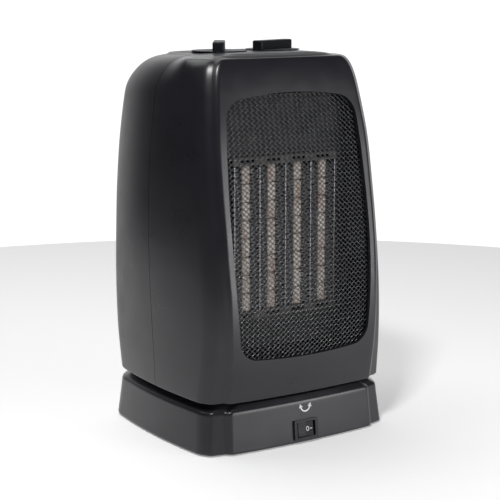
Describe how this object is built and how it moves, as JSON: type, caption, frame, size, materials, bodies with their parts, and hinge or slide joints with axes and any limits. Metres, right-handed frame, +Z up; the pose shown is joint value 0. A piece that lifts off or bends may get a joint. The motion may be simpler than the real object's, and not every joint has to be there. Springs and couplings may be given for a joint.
{
  "type": "ceramic space heater",
  "caption": "Upright oscillating ceramic heater: tower with a wire grille, heating element, fan and top knobs, on a swivel base with a rocker switch.",
  "frame": {"origin": "on the swivel axis at floor level, the centre of the underside", "axes": "+Z up, -Y towards the grille at the front, +X to the right seen from the front"},
  "size_m": [0.1744, 0.1619, 0.2915],
  "materials": {
    "charcoal_plastic": "fine satin texture",
    "knob_plastic": "fine texture",
    "control_plastic": "satin",
    "rocker_plastic": "glossy, with pale printed marks",
    "dark_mesh": "black painted woven wire",
    "dark_steel": "matt black heat-proof paint",
    "plated_steel": "zinc plated",
    "fin_aluminium": "thin rolled foil",
    "ceramic": "unglazed",
    "heatproof_plastic": "glass filled",
    "white_nylon": "plain moulded",
    "black_nylon": "plain moulded",
    "foot_rubber": "matt",
    "laminated_steel": "stacked sheet",
    "coil_tape": "yellow insulating tape",
    "bush_bronze": "sintered"
  },
  "bodies": {
    "base": {"base_shell": "charcoal_plastic", "base_bottom_plate": "black_nylon", "rubber_feet": "foot_rubber", "base_screws": "plated_steel", "glide_ring": "white_nylon", "rocker_switch_housing": "rocker_plastic", "switch_terminals": "plated_steel", "osc_motor": "plated_steel", "osc_motor_screws": "plated_steel", "cord_gland": "foot_rubber"},
    "crank": {"crank_disc": "white_nylon", "motor_output_shaft": "plated_steel"},
    "rocker": {"rocker_button": "rocker_plastic"},
    "tower": {"front_housing": "charcoal_plastic", "rear_housing": "charcoal_plastic", "tower_floor": "black_nylon", "thrust_washer": "white_nylon", "drive_yoke": "plated_steel", "yoke_screws": "plated_steel", "top_panel": "control_plastic", "grille_mesh": "dark_mesh", "grille_retainer": "dark_steel", "baffle_plate": "dark_steel", "element_top_frame": "heatproof_plastic", "element_bottom_frame": "heatproof_plastic", "ceramic_stones": "ceramic", "fin_strips": "fin_aluminium", "electrode_plates": "fin_aluminium", "element_terminals": "plated_steel", "air_duct": "heatproof_plastic", "thermal_cutout": "heatproof_plastic", "thermal_fuse": "plated_steel", "motor_mount": "heatproof_plastic", "motor_core": "laminated_steel", "motor_coil": "coil_tape", "motor_brackets": "plated_steel", "motor_bushes": "bush_bronze", "selector_switch": "heatproof_plastic", "thermostat": "heatproof_plastic", "tip_over_switch": "white_nylon", "housing_screws": "plated_steel"},
    "fan": {"rotor_core": "laminated_steel", "fan_shaft": "plated_steel", "impeller": "heatproof_plastic"},
    "selector": {"selector_knob": "knob_plastic", "selector_shaft": "black_nylon"},
    "thermostat_dial": {"thermostat_knob": "knob_plastic", "thermostat_shaft": "black_nylon"}
  },
  "joints": [
    {"name": "tower_swivel", "type": "hinge", "parent": "base", "child": "tower", "pos_m": [0, 0, 0.036], "axis": [0, 0, 1], "range_deg": [-35, 35]},
    {"name": "crank_turn", "type": "hinge", "parent": "base", "child": "crank", "pos_m": [0, -0.018, 0.02], "axis": [0, 0, 1], "range_deg": [-125, 125]},
    {"name": "rocker_tilt", "type": "hinge", "parent": "base", "child": "rocker", "pos_m": [0, -0.0748, 0.01026], "axis": [0, 0.0969, 0.9953], "range_deg": [0, 16]},
    {"name": "fan_spin", "type": "hinge", "parent": "tower", "child": "fan", "pos_m": [0, 0, 0.15], "axis": [0, 1, 0], "continuous": true},
    {"name": "selector_turn", "type": "hinge", "parent": "tower", "child": "selector", "pos_m": [-0.024, 0, 0.285], "axis": [0, 0, 1], "range_deg": [-120, 60]},
    {"name": "thermostat_turn", "type": "hinge", "parent": "tower", "child": "thermostat_dial", "pos_m": [0.024, 0, 0.285], "axis": [0, 0, 1], "range_deg": [-135, 135]}
  ],
  "couplings": [
    {"joint": "crank_turn", "follows": "tower_swivel", "ratio": 3.5713}
  ]
}
